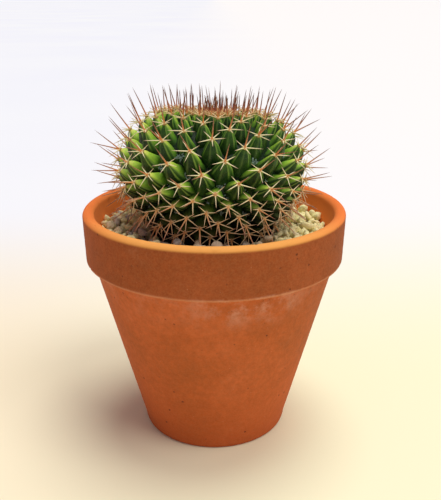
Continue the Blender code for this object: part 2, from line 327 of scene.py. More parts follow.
def blemishes(clay, base, pits):
    """Dark pits, pale flecks, and dark specks close under the band."""
    base = clay.mix(clay.times(pits, 0.75), base, (0.12, 0.03, 0.01))
    flecks = clay.fading(clay.cells(430.0), 0.04, 0.10)
    fleck_here = clay.ranged(clay.noise(190.0, 1.0), 0.58, 0.62)
    base = clay.mix(clay.times(clay.times(flecks, fleck_here), 0.25), base, (0.85, 0.55, 0.36))
    specks = clay.times(clay.fading(clay.cells(620.0), 0.10, 0.24), near_joint(clay, 14.0 * MM, 1.0 * MM))
    speck_here = clay.ranged(clay.noise(150.0, 2.0), 0.50, 0.62, 0.0, 0.55)
    return clay.mix(clay.times(specks, speck_here), base, (0.16, 0.06, 0.03))


def edge_wear_and_painted_light(clay, base):
    """A painted highlight on the band's lower edge, the lip's crest paler with wear and a painted highlight
    brightest in front, and painted light on the inside.
    """
    # Painted highlight: a pale line along the band's lower edge, where light catches it.
    edge = clay.between(
        clay.z, BAND_BASE - 0.3 * MM, BAND_BASE + 0.3 * MM, BAND_BASE + 0.7 * MM, BAND_BASE + 1.4 * MM
    )
    base = clay.mix(clay.times(edge, 0.38), base, (0.86, 0.36, 0.17))
    # The lip's crest is paler, partly wear and partly painted highlight; the painted highlight is brightest
    # at the front.
    lip_wear_and_highlight = clay.ranged(clay.z, POT_HEIGHT - 2.2 * MM, POT_HEIGHT - 0.9 * MM)
    front_painted_highlight = clay.fading(clay.y, -54.0 * MM, -10.0 * MM)
    lip_wear_and_highlight_colour = clay.mix(front_painted_highlight, (0.96, 0.235, 0.048), (0.98, 0.44, 0.105))
    base = clay.mix(clay.times(lip_wear_and_highlight, 0.88), base, lip_wear_and_highlight_colour)
    # Painted light: the inside wall below the lip is coloured brighter, standing in for light falling on it.
    reach = clay.one("SQRT", clay.plus(clay.times(clay.x, clay.x), clay.times(clay.y, clay.y)))
    cone = clay.plus(reach, clay.times(clay.sum("SUBTRACT", POT_HEIGHT, clay.z), INNER_SLOPE))
    inside = clay.fading(cone, RIM_RADIUS - 0.9 * LIP_WALL, RIM_RADIUS - 0.7 * LIP_WALL)
    return clay.mix(clay.times(inside, 0.94), base, (1.0, 0.27, 0.055))


def terracotta():
    """Unglazed clay: firing colour with painted shade, turning lines, lime bloom, pits, edge wear, and
    painted highlights and light.
    """
    clay = Finish("terracotta", Specular_IOR_Level=0.25)
    mottle = clay.noise(26.0, 6.0, 0.6)
    grain = clay.noise(1300.0, 3.0, 0.7)
    turning = clay.noise(9.0, 5.0, 0.7, clay.stretched(1.0, 1.0, 45.0))
    pit_here = clay.ranged(clay.noise(120.0, 1.0), 0.56, 0.64)
    pits = clay.times(clay.fading(clay.cells(260.0), 0.08, 0.17), pit_here)
    base = fired_colour(clay, mottle, turning)
    base = clay.mix(clay.times(clay.ranged(grain, 0.25, 0.75), 0.16), base, (0.70, 0.30, 0.12))
    base = lime_bloom(clay, base)
    base = blemishes(clay, base, pits)
    clay.colour(edge_wear_and_painted_light(clay, base))
    clay.roughness(clay.ranged(mottle, 0.3, 0.7, 0.80, 0.93))
    clay.bump(turning, 0.05 * MM)
    clay.bump(grain, 0.06 * MM)
    clay.bump(pits, -0.25 * MM)
    return clay.material


def painted_rib_highlight(skin, above, place, width, strength):
    """A share that is greatest at one place up a tubercle's side and fades away from it: the mask of a
    painted highlight line.
    """
    away = skin.one("ABSOLUTE", skin.sum("SUBTRACT", above, place))
    return skin.ranged(away, 0.01, width, strength, 0.0)


def tubercle_green_and_painted_light(skin, along, above):
    """Painted light and shade: nearly black below and towards the root, lit green on the flanks with one side
    painted darker, and a painted sunlit top.
    """
    painted_shaded_side = skin.ramp(
        along,
        (0.20, (0.001, 0.006, 0.003)),
        (0.55, (0.002, 0.014, 0.004)),
        (0.85, (0.006, 0.042, 0.006)),
        (0.98, (0.10, 0.22, 0.03)),
    )
    painted_lit_side = skin.ramp(
        along,
        (0.20, (0.002, 0.012, 0.004)),
        (0.55, (0.024, 0.116, 0.014)),
        (0.85, (0.115, 0.310, 0.026)),
        (0.98, (0.42, 0.52, 0.07)),
    )
    painted_sunlit_top = skin.ramp(
        along,
        (0.20, (0.020, 0.080, 0.014)),
        (0.45, (0.19, 0.45, 0.032)),
        (0.80, (0.50, 0.76, 0.075)),
        (0.97, (0.80, 0.82, 0.16)),
    )
    # Painted light: the share of the lit colour, lower on one side of each tubercle.
    flank = skin.times(
        skin.ranged(above, 0.16, 0.34),
        skin.ranged(skin.layer("beside"), 0.10, 0.50, 0.45, 1.0),
    )
    shaded = skin.mix(flank, painted_shaded_side, painted_lit_side)
    # Painted shade: the lower tubercles go nearly black underneath.
    shaded = skin.mix(skin.times(skin.layer("under"), 0.80), shaded, (0.002, 0.010, 0.004))
    return skin.mix(skin.ranged(above, 0.42, 0.70), shaded, painted_sunlit_top)


def cactus_skin():
    """Waxy skin with painted light and shade, painted highlights along the ribs and fine dots, darker on the
    lower tubercles with duller old skin and painted shade.
    """
    skin = Finish(
        "cactus_skin",
        Specular_IOR_Level=0.22,
        Subsurface_Weight=0.12,
        Subsurface_Scale=2.0 * MM,
        Subsurface_Radius=(0.5, 1.0, 0.2),
    )
    along = skin.layer("along")
    above = skin.layer("above")
    green = tubercle_green_and_painted_light(skin, along, above)
    # Painted highlights: pale lines along the ribs and the keel, where light catches the ridges.
    side_rib_highlight = painted_rib_highlight(skin, above, 0.27, 0.08, 1.0)
    shoulder_rib_highlight = painted_rib_highlight(skin, above, 0.52, 0.09, 0.6)
    keel_highlight = skin.ranged(above, 0.0, 0.016, 0.28, 0.0)
    ribs = skin.sum("MAXIMUM", skin.sum("MAXIMUM", side_rib_highlight, shoulder_rib_highlight), keel_highlight)
    rib_here = skin.times(ribs, skin.ranged(along, 0.20, 0.55))
    green = skin.mix(skin.times(rib_here, 0.72), green, (0.32, 0.50, 0.10))
    patch = skin.noise(160.0, 4.0, 0.6)
    green = skin.mix(skin.ranged(patch, 0.35, 0.75, 0.0, 0.28), green, (0.12, 0.27, 0.03))
    green = skin.mix(skin.times(skin.layer("tone"), 0.30), green, (0.035, 0.120, 0.028))
    # The lower tubercles are darker: partly duller old skin, partly painted shade.
    green = skin.mix(skin.times(skin.layer("age"), 0.86), green, (0.006, 0.020, 0.009))
    dots = skin.fading(skin.cells(2600.0), 0.10, 0.26)
    skin.colour(skin.mix(skin.times(dots, 0.16), green, (0.55, 0.66, 0.38)))
    skin.roughness(skin.ranged(patch, 0.3, 0.7, 0.34, 0.52))
    skin.bump(skin.noise(240.0, 2.0, 0.5), 0.55 * MM)
    skin.bump(skin.noise(700.0, 4.0, 0.6), 0.14 * MM)
    skin.bump(dots, 0.02 * MM)
    return skin.material


def horn(name, young, old):
    """Spine horn: colours along the spine when young and when old, mixed by its age."""
    spine = Finish(name, Roughness=0.45, Specular_IOR_Level=0.4)
    along = spine.layer("along")
    base = spine.mix(spine.layer("age"), spine.ramp(along, *young), spine.ramp(along, *old))
    base = spine.mix(spine.times(spine.layer("tone"), 0.10), base, (0.50, 0.24, 0.15))
    streaks = spine.noise(2200.0, 2.0)
    spine.colour(spine.mix(spine.ranged(streaks, 0.35, 0.75, 0.0, 0.22), base, (0.92, 0.80, 0.60)))
    spine.bump(streaks, 0.02 * MM)
    return spine.material


def wool(name, light, dark):
    felt = Finish(name, Roughness=0.95, Specular_IOR_Level=0.1, Sheen_Weight=0.3)
    fibre = felt.noise(2600.0, 5.0, 0.7)
    base = felt.mix(felt.ranged(fibre, 0.3, 0.7), dark, light)
    felt.colour(felt.mix(felt.times(felt.layer("tone"), 0.5), base, dark))
    felt.bump(fibre, 0.12 * MM)
    return felt.material


def pumice():
    """Pumice: mostly cream, some stones pinkish or blue-grey, all full of fine pores; the near-black end of
    the tones is painted shade.
    """
    stone = Finish("pumice_grit", Roughness=0.92, Specular_IOR_Level=0.2)
    base = stone.ramp(
        stone.layer("tone"),
        (0.00, (1.00, 0.95, 0.50)),
        (0.40, (0.99, 0.90, 0.48)),
        (0.58, (0.82, 0.70, 0.44)),
        (0.72, (0.60, 0.47, 0.36)),
        (0.84, (0.42, 0.44, 0.42)),
        (0.93, (0.26, 0.32, 0.38)),
        # Painted shade: the darkest tones, for the bed and the front stones.
        (0.99, (0.10, 0.08, 0.06)),
    )
    cloud = stone.noise(520.0, 5.0, 0.65)
    base = stone.mix(stone.ranged(cloud, 0.35, 0.6, 0.35, 0.0), base, (0.55, 0.42, 0.24))
    pore_here = stone.ranged(stone.noise(900.0, 2.0), 0.45, 0.60)
    pores = stone.times(stone.fading(stone.cells(1500.0), 0.05, 0.30), pore_here)
    stone.colour(stone.mix(stone.times(pores, 0.7), base, (0.16, 0.11, 0.07)))
    stone.bump(cloud, 0.55 * MM)
    stone.bump(pores, -0.25 * MM)
    return stone.material


def earth():
    soil = Finish("potting_soil", Roughness=0.97)
    crumbs = soil.noise(420.0, 6.0, 0.7)
    base = soil.ramp(
        crumbs,
        (0.30, (0.012, 0.007, 0.004)),
        (0.55, (0.035, 0.020, 0.012)),
        (0.80, (0.10, 0.065, 0.04)),
    )
    soil.colour(base)
    soil.bump(crumbs, 0.8 * MM)
    return soil.material


def studio_floor():
    """Pale floor with painted shade: warm close to the viewer and darker on the near left, cooler far off,
    paler to the right.
    """
    ground = Finish("studio_floor", Roughness=0.9, Specular_IOR_Level=0.1)
    drift = ground.noise(1.4, 2.0)
    # Painted shade: the floor close to the viewer is coloured darker on the left, where shade falls.
    near_left_painted_shade = ground.ramp(drift, (0.3, (0.93, 0.80, 0.60)), (0.7, (0.94, 0.84, 0.64)))
    near = ground.mix(ground.ranged(ground.x, -0.16, 0.04), near_left_painted_shade, (0.97, 0.94, 0.68))
    far_left = ground.ramp(drift, (0.3, (0.86, 0.88, 0.97)), (0.7, (0.90, 0.92, 0.97)))
    far = ground.mix(ground.ranged(ground.x, -0.4, 0.4), far_left, (0.96, 0.95, 0.96))
    ground.colour(ground.mix(ground.ranged(ground.y, 0.02, 0.36), near, far))
    return ground.material


# ---- the pot ----

POT_SEGMENTS = 240
FOOT_CURVE = ((0.38, 0.06), (0.66, 0.26), (0.86, 0.58))
BAND_EDGE = 0.8 * MM
BAND_COVE = 0.7 * MM
RIDGE_SPACING = 2.2 * MM
RIDGE_DEPTH = 0.07 * MM
WAVER = 0.08 * MM
LIP_ZONE = 2.5 * MM
BAND_EDGE_ZONE = 1.2 * MM
NICK_SIZES = (3.1 * MM, 1.3 * MM)
NICK_RARITY = 0.42
NICK_DEPTH = 0.9 * MM


def arc(centre, radius, start, end, steps):
    """Points (r, z) along an arc in the profile plane, angles in degrees."""
    angles = [math.radians(start + (end - start) * i / steps) for i in range(steps + 1)]
    return [(centre[0] + radius * math.cos(a), centre[1] + radius * math.sin(a)) for a in angles]


def line(start, end, steps):
    """Points between two others, without the first and with the last."""
    shares = [i / steps for i in range(1, steps + 1)]
    return [tuple(a + (b - a) * share for a, b in zip(start, end)) for share in shares]


def inner_radius(height):
    return RIM_RADIUS - LIP_WALL - INNER_SLOPE * (POT_HEIGHT - LIP_ROUND - height)


def outside_section():
    """From the drainage hole's lower edge over the foot, wall and band to the top of the lip."""
    band_radius = RIM_RADIUS - BAND_DRAFT
    wall_top = band_radius - BAND_STEP
    foot_out = FOOT_RADIUS - BASE_RADIUS
    section = line((DRAIN_RADIUS + DRAIN_CHAMFER, 0.0), (BASE_RADIUS, 0.0), 10)
    section += [(BASE_RADIUS + out * foot_out, rise * FOOT_HEIGHT) for out, rise in FOOT_CURVE]
    section.append((FOOT_RADIUS, FOOT_HEIGHT))
    section += line(section[-1], (wall_top - BAND_COVE * 0.3, BAND_BASE - BAND_COVE), 54)
    section += arc((wall_top + BAND_COVE, BAND_BASE - BAND_COVE), BAND_COVE, 180.0, 90.0, 4)
    section += arc((band_radius - BAND_EDGE, BAND_BASE + BAND_EDGE), BAND_EDGE, -90.0, 0.0, 6)
    section += line(section[-1], (RIM_RADIUS, POT_HEIGHT - LIP_ROUND), 22)
    section += arc((RIM_RADIUS - LIP_ROUND, POT_HEIGHT - LIP_ROUND), LIP_ROUND, 0.0, 90.0, 9)[1:]
    return section


def inside_section():
    """From the top of the lip down the inside and over the floor into the drainage hole."""
    drain_edge = DRAIN_RADIUS + DRAIN_CHAMFER
    floor = FLOOR_THICKNESS
    lip_centre = (RIM_RADIUS - LIP_WALL + INNER_LIP_ROUND, POT_HEIGHT - INNER_LIP_ROUND)
    fillet = (inner_radius(floor + FLOOR_FILLET) - FLOOR_FILLET, floor + FLOOR_FILLET)
    section = arc(lip_centre, INNER_LIP_ROUND, 90.0, 180.0, 6)
    section += line(section[-1], (fillet[0] + FLOOR_FILLET, fillet[1]), 40)
    section += arc(fillet, FLOOR_FILLET, 0.0, -90.0, 5)[1:]
    section += line(section[-1], (drain_edge, floor), 6)
    section += arc((drain_edge, floor - DRAIN_CHAMFER), DRAIN_CHAMFER, 90.0, 180.0, 3)[1:]
    section += arc((drain_edge, DRAIN_CHAMFER), DRAIN_CHAMFER, 180.0, 270.0, 3)[:-1]
    return section


def nick_depth(spot):
    """How deep the clay is chipped, along the lip and the band's lower edge only."""
    if spot.z <= POT_HEIGHT - LIP_ZONE and abs(spot.z - BAND_BASE) >= BAND_EDGE_ZONE:
        return 0.0
    rough = noise.noise(spot / NICK_SIZES[0]) + 0.5 * noise.noise(spot / NICK_SIZES[1])
    return max(0.0, rough - NICK_RARITY) * NICK_DEPTH


def build_pot():
    """The thrown pot, with faint turning ridges and a wavering, lightly chipped lip."""
    section = np.array(outside_section() + inside_section())
    turns = full_circle(POT_SEGMENTS)
    radius, height = section[:, 0][:, None], section[:, 1][:, None]
    outside = (radius > inner_radius(height) + 0.6 * LIP_WALL) & (height > FOOT_HEIGHT)
    ridges = np.array([[noise.noise(Vector((0.0, 3.0, z / RIDGE_SPACING)))] for z in section[:, 1]])
    waver = WAVER * (1.0 + np.cos(2.0 * turns + 0.8))[None, :]
    inset = np.where(outside, RIDGE_DEPTH * (1.0 + ridges) + waver, 0.0)
    points = []
    for row, (r, z) in enumerate(section):
        for column, turn in enumerate(turns):
            away = Vector((math.cos(turn), math.sin(turn), 0.0))
            spot = away * r + Vector((0.0, 0.0, z))
            nick = nick_depth(spot)
            inward = -away if r > RIM_RADIUS - 0.6 * LIP_WALL else away
            sunk = 0.5 * nick if z > POT_HEIGHT - LIP_ZONE else 0.0
            shift = inward * nick - away * float(inset[row, column])
            points.append(spot + shift - Vector((0.0, 0.0, sunk)))
    faces = grid_faces(len(section), POT_SEGMENTS)
    last = (len(section) - 1) * POT_SEGMENTS
    for i in range(POT_SEGMENTS):
        j = (i + 1) % POT_SEGMENTS
        faces.append([last + i, last + j, j, i])
    pot = add_piece("clay_pot", points, faces, terracotta())
    face_outwards(pot)
    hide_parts("terracotta_pot")


# ---- the plant's lattice ----

# Tubercles by number, counted down from the crown, between which the plant changes: the skin darkens with age
# and painted shade, and the undersides darken with painted shade.
FULL_AGE = 230.0
DULLED_AND_SHADED = (165.0, 215.0)
IN_SHADE = (95.0, 160.0)


def stem_profile(steps=3000):
    """Radius and height, crown to underside, of the surface that holds the tips."""
    turn = np.linspace(0.0, math.pi / 2.0, steps)
    upper, lower = 2.0 / CROWN_FULLNESS, 2.0 / UNDERSIDE_FULLNESS
    radius = np.concatenate([np.sin(turn) ** upper, np.cos(turn[1:]) ** lower]) * STEM_RADIUS
    rise = CROWN_RISE * np.cos(turn) ** upper
    drop = -UNDERSIDE_DROP * np.sin(turn[1:]) ** lower
    return radius, np.concatenate([rise, drop])


def tubercle_cell(reach):
    """Area of skin that one tubercle takes, by distance along the skin from the crown."""
    growth = np.sin(np.clip(reach / SHOULDER_REACH, 0.0, 1.0) * math.pi / 2.0) ** 2
    young = CROWN_CELL + (SHOULDER_CELL - CROWN_CELL) * growth
    age = np.clip((reach - SHOULDER_REACH) / (FLANK_REACH - SHOULDER_REACH), 0.0, 1.0)
    return np.where(reach > SHOULDER_REACH, SHOULDER_CELL + (FLANK_CELL - SHOULDER_CELL) * age, young)


def tubercle_spacing(reach):
    return math.sqrt(float(tubercle_cell(np.array(reach))))


class Skin:
    """The surface that holds the tips, by distance along it from the crown."""

    def __init__(self):
        self.radius, self.height = stem_profile()
        run, rise = np.diff(self.radius), np.diff(self.height)
        step = np.hypot(run, rise)
        self.reach = np.concatenate([[0.0], np.cumsum(step)])
        self.middle = 0.5 * (self.reach[1:] + self.reach[:-1])
        self.run, self.rise = run / step, rise / step
        cell = tubercle_cell(self.reach)
        band = math.pi * (self.radius[1:] + self.radius[:-1]) * step
        self.count = np.concatenate([[0.0], np.cumsum(band / (0.5 * (cell[1:] + cell[:-1])))])

    def reach_of(self, number):
        return float(np.interp(number, self.count, self.reach))

    def at(self, reach, turn):
        """Place, outward way and upward way of a point of the skin, leaning as the plant does."""
        radius = float(np.interp(reach, self.reach, self.radius))
        height = float(np.interp(reach, self.reach, self.height))
        run = float(np.interp(reach, self.middle, self.run))
        rise = float(np.interp(reach, self.middle, self.rise))
        away = Vector((math.cos(turn), math.sin(turn), 0.0))
        dip = CROWN_DIP * math.exp(-((radius / CROWN_DIP_RADIUS) ** 4))
        place = away * radius + Vector((0.0, 0.0, height - dip))
        place = LEAN @ (place - LEAN_PIVOT) + LEAN_PIVOT + STEM_CENTRE
        out = LEAN @ (away * -rise + Vector((0.0, 0.0, run)))
        up = LEAN @ (away * -run + Vector((0.0, 0.0, -rise)))
        return place, out.normalized(), up.normalized()


class Areole:
    """The tip of one tubercle and the ways out from it, up the plant and to the side."""

    def __init__(self, number, skin):
        self.number = number
        self.turn = FIRST_TURN + GOLDEN_ANGLE * (number - SHOULDER_TUBERCLE)
        self.spacing = tubercle_spacing(skin.reach_of(number))
        self.place, self.out, self.up = skin.at(skin.reach_of(number), self.turn)
        self.growth = min(1.0, self.spacing / FULL_SPACING)
        self.axis = (self.out + Vector((0.0, 0.0, TUBERCLE_UPTURN * self.growth))).normalized()
        side = self.up.cross(self.out)
        self.side = (side - self.axis * side.dot(self.axis)).normalized()
        self.rise = self.axis.cross(self.side)
        self.age = rising(number, 0.0, FULL_AGE)
        self.dull_and_shaded = rising(number, *DULLED_AND_SHADED)
        self.under = rising(number, *IN_SHADE)


SKIN = Skin()
AREOLES = [Areole(number, SKIN) for number in range(1, LAST_TUBERCLE + 1)]


# ---- the stem ----

TUBERCLE_LENGTH = 1.12
TUBERCLE_GIRTH = 0.57
TUBERCLE_TWIST = -0.24
TUBERCLE_DEPTH = 0.92
TAPER = 0.64
BELLY = 0.08
TOP_ROUNDNESS = 1.45
KEEL_ROUNDNESS = 1.18
UNEVENNESS = 0.16
WAVES_ALONG = 3.0
WAVES_AROUND = 1.3
CORE_DEPTH = 0.80
CORE_LAST_TUBERCLE = LAST_TUBERCLE + 12
CORE_ROWS = 60
CORE_COLUMNS = 72


def tubercle_ring(angle):
    """Sideways and upward parts of a tubercle's outline, round above and keeled below."""
    power = np.where(np.sin(angle) > 0.0, TOP_ROUNDNESS, KEEL_ROUNDNESS)
    ring = 1.0 / (np.abs(np.cos(angle)) ** power + np.abs(np.sin(angle)) ** power) ** (1.0 / power)
    twist = TUBERCLE_TWIST + dice.normal(0.0, 0.05)
    return ring * np.cos(angle + twist), ring * np.sin(angle + twist) * TUBERCLE_DEPTH


def tubercle(areole, around=24, along=12):
    """A four-angled cone: its points ring by ring from the root, its faces and its layers."""
    length = TUBERCLE_LENGTH * areole.spacing
    wide = TUBERCLE_GIRTH * areole.spacing * dice.uniform(0.96, 1.04)
    angle = full_circle(around)
    across, upward = tubercle_ring(angle)
    place, axis, rise, side = (np.array(v) for v in (areole.place, areole.axis, areole.rise, areole.side))
    sway = side * dice.normal(0.0, 0.05) + rise * dice.normal(0.0, 0.04)
    seed = Vector(dice.uniform(0.0, 90.0, 3).tolist())
    share = np.sin(np.linspace(0.0, 1.0, along) * math.pi / 2.0) ** 0.9
    centre = place - axis * length + share[:, None] * (axis * length)
    centre = centre + (share * (1.0 - share))[:, None] * sway * length
    centre = centre - rise * (BELLY * areole.spacing * np.sin(share * math.pi))[:, None]
    circle = [(WAVES_AROUND * math.cos(a), WAVES_AROUND * math.sin(a)) for a in angle]
    spots = [Vector((WAVES_ALONG * t, *turned)) for t in share for turned in circle]
    waves = np.array([noise.noise(spot + seed) for spot in spots]).reshape(along, around)
    girth = wide * (1.0 - TAPER * share) * np.sqrt(1.0 - share**8)
    girth = girth[:, None] * (1.0 + UNEVENNESS * waves)
    ring = across[:, None] * side + upward[:, None] * rise
    points = centre[:, None, :] + girth[:, :, None] * ring[None, :, :]
    layers = {
        "along": np.repeat(share, around),
        "above": np.tile(0.5 + 0.5 * np.sin(angle), along),
        "beside": np.tile(0.5 + 0.5 * np.cos(angle), along),
    }
    return points.reshape(-1, 3), grid_faces(along, around), layers


def stem_core():
    """Points of a plain body that closes the gaps between the tubercles' roots."""
    points = []
    for reach in np.linspace(0.0, SKIN.reach_of(CORE_LAST_TUBERCLE), CORE_ROWS):
        for turn in full_circle(CORE_COLUMNS):
            place, out, _ = SKIN.at(reach, turn)
            points.append(place - out * tubercle_spacing(reach) * CORE_DEPTH)
    return np.array(points)


def build_stem():
    heap = Heap()
    for areole in AREOLES:
        points, faces, layers = tubercle(areole)
        heap.add(points, faces, tone=dice.random(), age=areole.dull_and_shaded, under=areole.under, **layers)
    core_faces = grid_faces(CORE_ROWS, CORE_COLUMNS)
    # The core takes the darkest colours of every layer: a dark body in the gaps, as painted shade.
    heap.add(stem_core(), core_faces, tone=0.5, age=1.0, under=1.0, along=0.0, above=0.0, beside=0.0)
    stem = heap.piece("cactus_stem_skin", cactus_skin(), "skin")
    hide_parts("cactus_stem")


# ---- spines and wool ----

LAST_SPINY = 268
RADIAL_ANGLES = (-90.0, -22.0, 38.0, 144.0, 204.0)
RADIAL_LENGTHS = (6.2 * MM, 6.6 * MM, 5.0 * MM, 5.0 * MM, 6.6 * MM)
RADIAL_WIDTH = 0.54 * MM
CENTRAL_LENGTH = 14.0 * MM
CENTRAL_WIDTH = 0.70 * MM
SECOND_CENTRAL_CHANCE = 0.25
SHORTER_CENTRALS = (110.0, 150.0)
LONGER_RADIALS_FROM = 150.0
SPINE_ROOT = 0.4 * MM
# How far the central spines turn up, by number of the tubercle: down a little at the foot.
CENTRAL_LIFTS = ((0, 0.3), (60, 0.50), (150, 0.45), (200, 0.10), (260, -0.20))
RADIAL_YOUNG = (
    (0.00, (0.84, 0.22, 0.03)),
    (0.25, (0.86, 0.36, 0.06)),
    (0.80, (0.90, 0.50, 0.14)),
    (1.00, (0.55, 0.22, 0.09)),
)
RADIAL_OLD = (
    (0.00, (0.78, 0.42, 0.11)),
    (0.20, (1.0, 0.96, 0.58)),
    (0.70, (1.0, 0.88, 0.58)),
    (1.00, (0.62, 0.36, 0.26)),
)
CENTRAL_YOUNG = (
    (0.00, (0.94, 0.32, 0.05)),
    (0.22, (0.60, 0.105, 0.026)),
    (0.50, (0.20, 0.026, 0.018)),
    (1.00, (0.05, 0.012, 0.016)),
)
CENTRAL_OLD = (
    (0.00, (0.86, 0.45, 0.10)),
    (0.30, (0.84, 0.44, 0.18)),
    (0.70, (0.58, 0.24, 0.12)),
    (1.00, (0.22, 0.08, 0.06)),
)


class Spines:
    """Gathers spines as lines, then makes them all at once as tapered tubes."""

    def __init__(self):
        self.starts, self.ways, self.bends, self.lengths = [], [], [], []
        self.tones, self.ages = [], []

    def add(self, start, way, length, age):
        way = np.array(way.normalized())
        bend = np.cross(way, unit(dice.normal(size=3)))
        self.starts.append(np.array(start) - way * SPINE_ROOT)
        self.ways.append(way)
        self.bends.append(bend * dice.uniform(0.0, 0.05))
        self.lengths.append(length)
        self.tones.append(dice.random())
        self.ages.append(age)

    def piece(self, name, width, finish, sides=6, rings=9):
        starts, ways, bends = (np.array(x) for x in (self.starts, self.ways, self.bends))
        lengths = np.array(self.lengths)[:, None, None]
        count = len(starts)
        upright = np.abs(ways[:, 2:]) >= 0.9
        across = unit(np.cross(ways, np.where(upright, [1.0, 0.0, 0.0], [0.0, 0.0, 1.0])))
        over = np.cross(ways, across)
        share = np.linspace(0.0, 1.0, rings) ** 1.15
        bulb = 1.0 + 0.7 * np.exp(-((share / 0.05) ** 2))
        taper = (1.0 - share) ** 0.62 * 0.92 + 0.05
        taper[-1] = 0.03
        straight = ways[:, None] * share[None, :, None]
        middle = starts[:, None] + lengths * (straight + bends[:, None] * (share**2)[None, :, None])
        angle = full_circle(sides)
        circle = np.cos(angle)[:, None] * across[:, None, :] + np.sin(angle)[:, None] * over[:, None, :]
        girth = 0.5 * width * (bulb * taper)
        points = middle[:, :, None, :] + girth[None, :, None, None] * circle[:, None, :, :]
        each = rings * sides
        tube = np.array(grid_faces(rings, sides))
        faces = []
        for first in range(0, count * each, each):
            top = first + each - sides
            faces += (tube + first).tolist()
            faces.append([top + i for i in range(sides)])
            faces.append([first + i for i in reversed(range(sides))])
        layers = {
            "along": np.tile(np.repeat(share, sides), count),
            "tone": np.repeat(self.tones, each),
            "age": np.repeat(self.ages, each),
        }
        piece = add_piece(name, points.reshape(-1, 3), faces, finish, layers)
        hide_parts(*SPINE_NODES)


def add_radials(radials, areole, tip):
    """A star of spines round the areole, spread flat on the flank and upright at the crown."""
    beyond = max(0.0, areole.number - LONGER_RADIALS_FROM) / 100.0
    size = 0.28 + 0.72 * areole.growth + 0.16 * beyond
    lift = 0.30 + 1.5 * (1.0 - areole.growth) ** 1.5
    turn = dice.normal(0.0, 6.0)
    for angle, length in zip(RADIAL_ANGLES, RADIAL_LENGTHS):
        swing = math.radians(angle + turn + dice.normal(0.0, 7.0))
        flat = areole.side * math.cos(swing) + areole.rise * math.sin(swing)
        way = flat + areole.axis * (lift + dice.normal(0.0, 0.07))
        grown = length * size * dice.uniform(0.88, 1.12)
        radials.add(tip + flat * 0.35 * MM, way, grown, areole.growth**2)


def add_centrals(centrals, areole, tip):
    """One long spine straight out of the areole, sometimes with a second below it."""
    lift = float(np.interp(areole.number, *zip(*CENTRAL_LIFTS)))
    spread = 0.14 + 0.12 * (1.0 - areole.growth)
    shortened = 1.0 - 0.12 * rising(areole.number, *SHORTER_CENTRALS)
    second = dice.random() < SECOND_CENTRAL_CHANCE and areole.growth > 0.9
    for turned in range(2 if second else 1):
        sway = areole.side * dice.normal(0.0, spread) + areole.up * (dice.normal(0.0, 0.10) - 0.5 * turned)
        way = areole.out + Vector((0.0, 0.0, lift)) + sway
        grown = CENTRAL_LENGTH * (0.42 + 0.58 * areole.growth) * shortened * dice.uniform(0.84, 1.08)
        centrals.add(tip, way, grown, areole.age**1.8)


def build_spines():
    radials, centrals = Spines(), Spines()
    for areole in AREOLES[:LAST_SPINY]:
        tip = areole.place + areole.axis * 0.25 * MM
        add_radials(radials, areole, tip)
        add_centrals(centrals, areole, tip)
    radials.piece("radial_spines", RADIAL_WIDTH, horn("radial_horn", RADIAL_YOUNG, RADIAL_OLD))
    centrals.piece("central_spines", CENTRAL_WIDTH, horn("central_horn", CENTRAL_YOUNG, CENTRAL_OLD))


def build_areole_pads():
    """The small felt pad that the spines of each areole stand in."""
    directions, faces = ball(2)
    heap = Heap()
    for areole in AREOLES:
        size = (0.35 + 0.65 * areole.growth) * MM
        spots = [Vector(way) * 3.0 + areole.place * 900.0 for way in directions]
        rough = 1.0 + 0.22 * np.array([noise.noise(spot) for spot in spots])
        pad_axes = np.array([areole.side, areole.rise, areole.axis * 0.62])
        points = (directions * rough[:, None] * size) @ pad_axes + np.array(areole.place)
        heap.add(points, faces, tone=dice.random())
    heap.piece("areole_felt", wool("areole_felt", (0.80, 0.62, 0.30), (0.48, 0.24, 0.08)), "spine")


# The axil lies halfway to the tubercle this many further on, which is a near neighbour below.
AXIL_STEP = 34
AXIL_TURN = math.remainder(AXIL_STEP * GOLDEN_ANGLE, 2.0 * math.pi)
AXIL_DEPTH = 0.70
FIRST_WOOLLY = 105
BARE_SHARE = 0.45
STRANDS = 14


def axil(areole):
    """Centre of the gap beside a tubercle, and its sideways, upward and outward ways."""
    reach = SKIN.reach_of(areole.number + 0.5 * AXIL_STEP)
    place, out, up = SKIN.at(reach, areole.turn + 0.5 * AXIL_TURN)
    axis = np.array((out + Vector((0.0, 0.0, TUBERCLE_UPTURN))).normalized())
    return np.array(place) - axis * areole.spacing * AXIL_DEPTH, np.array(up.cross(out)), np.array(up), axis


def build_axil_wool():
    """Tufts of grey wool deep between the older tubercles."""
    heap = Heap()
    directions, faces = ball(1)
    for areole in AREOLES[FIRST_WOOLLY - 1 :]:
        if dice.random() < BARE_SHARE:
            continue
        centre, side, up, axis = axil(areole)
        tone = dice.random()
        for _ in range(STRANDS):
            spot = centre + side * dice.normal(0.0, 0.9 * MM) + up * dice.normal(0.0, 0.55 * MM)
            spot = spot + axis * dice.uniform(-0.9, 0.5) * MM
            way = unit(axis + 0.9 * unit(dice.normal(size=3)))
            strand = directions * dice.uniform(0.20, 0.42) * MM
            strand = strand + way * (directions @ way)[:, None] * dice.uniform(0.3, 0.9) * MM
            heap.add(strand + spot, faces, tone=tone)
    heap.piece("axil_wool", wool("axil_wool", (0.34, 0.46, 0.43), (0.12, 0.20, 0.18)), "skin")


# ---- the top dressing ----

